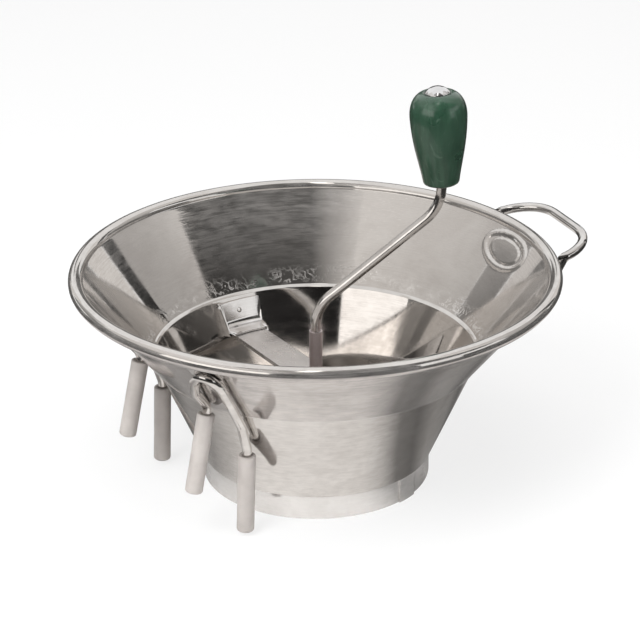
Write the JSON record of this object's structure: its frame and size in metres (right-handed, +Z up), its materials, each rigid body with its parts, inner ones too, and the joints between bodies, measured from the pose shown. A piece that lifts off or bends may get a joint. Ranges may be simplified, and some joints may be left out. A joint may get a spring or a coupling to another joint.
{
  "type": "food mill",
  "caption": "Tinned food mill: two-cone bowl on a foot ring, perforated disc, helical blade on a cranked rod, sprung bridge, wire handle and sleeved wire legs.",
  "frame": {"origin": "on the bowl's axis, at the foot ring's lower edge", "axes": "+Z up along the bowl's axis, +X the way the crank's arm points at rest, handle about 23 degrees from +X towards +Y, legs on the other side"},
  "size_m": [0.3301, 0.31, 0.2592],
  "materials": {
    "tinplate": "bright tinned steel with fine spinning marks",
    "disc_tinplate": "tinned, satin",
    "bar_steel": "tinned, matt with bright edges",
    "wire_steel": "bright tinned wire",
    "shaft_steel": "drawn tube, semi-bright",
    "spring_steel": "plated spring wire",
    "cap_chrome": "polished",
    "knob_wood": "green lacquer, semi-gloss",
    "sleeve_plastic": "moulded, matt"
  },
  "bodies": {
    "mill": {"bowl": "tinplate", "rim_wire": "wire_steel", "base_ring": "tinplate", "sieve_disc": "disc_tinplate", "keeper_rear": "tinplate", "keeper_front": "tinplate", "keeper_welds": "tinplate", "handle": "wire_steel", "handle_pads": "tinplate", "leg_bracket_rear": "wire_steel", "leg_bracket_front": "wire_steel", "leg_pads": "tinplate", "sleeve_rear_outer": "sleeve_plastic", "sleeve_rear_inner": "sleeve_plastic", "sleeve_front_inner": "sleeve_plastic", "sleeve_front_outer": "sleeve_plastic"},
    "crank": {"crank_rod": "wire_steel", "shaft_sleeve": "shaft_steel", "blade": "disc_tinplate", "blade_hub": "disc_tinplate", "hub_pin": "spring_steel", "spring_washer": "spring_steel", "pressure_spring": "spring_steel", "knob_cap": "cap_chrome", "knob_washer": "spring_steel"},
    "bridge": {"bridge": "bar_steel", "bridge_bushing": "shaft_steel"},
    "knob": {"knob": "knob_wood"}
  },
  "joints": [
    {"name": "crank_spin", "type": "hinge", "parent": "mill", "child": "crank", "pos_m": [0, 0, 0], "axis": [0, 0, 1], "continuous": true},
    {"name": "knob_spin", "type": "hinge", "parent": "crank", "child": "knob", "pos_m": [0.07822, 0, 0.19664], "axis": [-0.0558, 0, 0.9984], "continuous": true},
    {"name": "bridge_press", "type": "slide", "parent": "mill", "child": "bridge", "axis": [0, 0, -1], "range_m": [0, 0.0065], "stiffness_N_per_m": 2000, "springref_m": -0.006, "deforming": ["pressure_spring"]}
  ]
}
